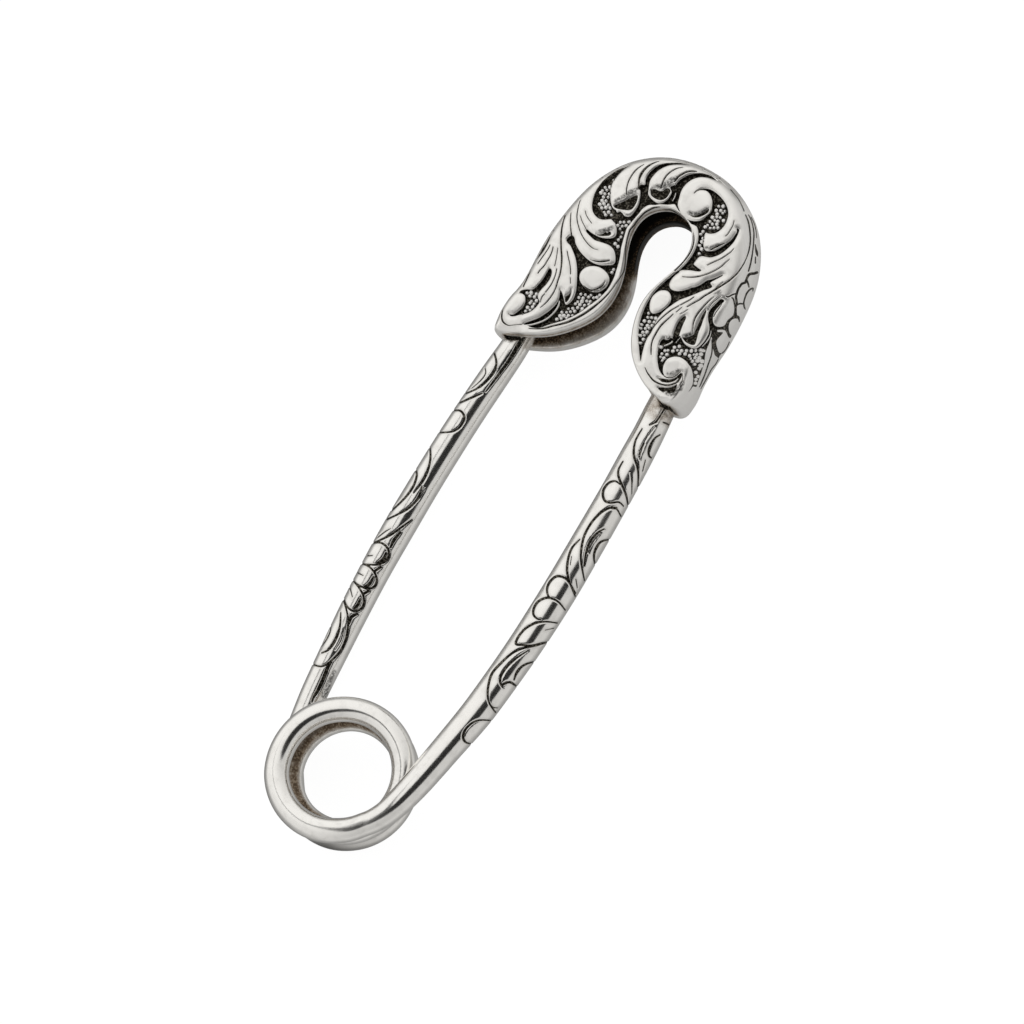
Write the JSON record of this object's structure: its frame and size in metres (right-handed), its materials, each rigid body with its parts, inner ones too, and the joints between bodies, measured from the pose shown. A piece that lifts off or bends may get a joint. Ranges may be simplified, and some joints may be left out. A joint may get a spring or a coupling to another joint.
{
  "type": "safety pin",
  "caption": "Cast silver safety pin with a hollow scroll-engraved cap, a coil spring and a thick back arm beside a sprung pin arm.",
  "frame": {"origin": "centre of the pin's footprint on the surface that it lies on", "axes": "+Y from the coil to the cap, +Z out of the engraved face, +X to the right as the face is seen"},
  "size_m": [0.0184, 0.0644, 0.0072],
  "materials": {
    "cap_silver": "polished silver, blackened in the sunk ground and the hollow",
    "wire_silver": "polished silver with blackened engraving and a brown tarnish near the joints"
  },
  "bodies": {
    "frame": {"head": "cap_silver", "back_arm": "wire_silver", "coil": "wire_silver"},
    "pin": {"pin_arm": "wire_silver"}
  },
  "joints": [
    {"name": "pin_spring", "type": "hinge", "parent": "frame", "child": "pin", "pos_m": [0.00009, -0.02604, 0.001], "axis": [0, 0, 1], "range_deg": [-10, 0], "stiffness_Nm_per_rad": 0.1, "springref_deg": 2.86}
  ]
}
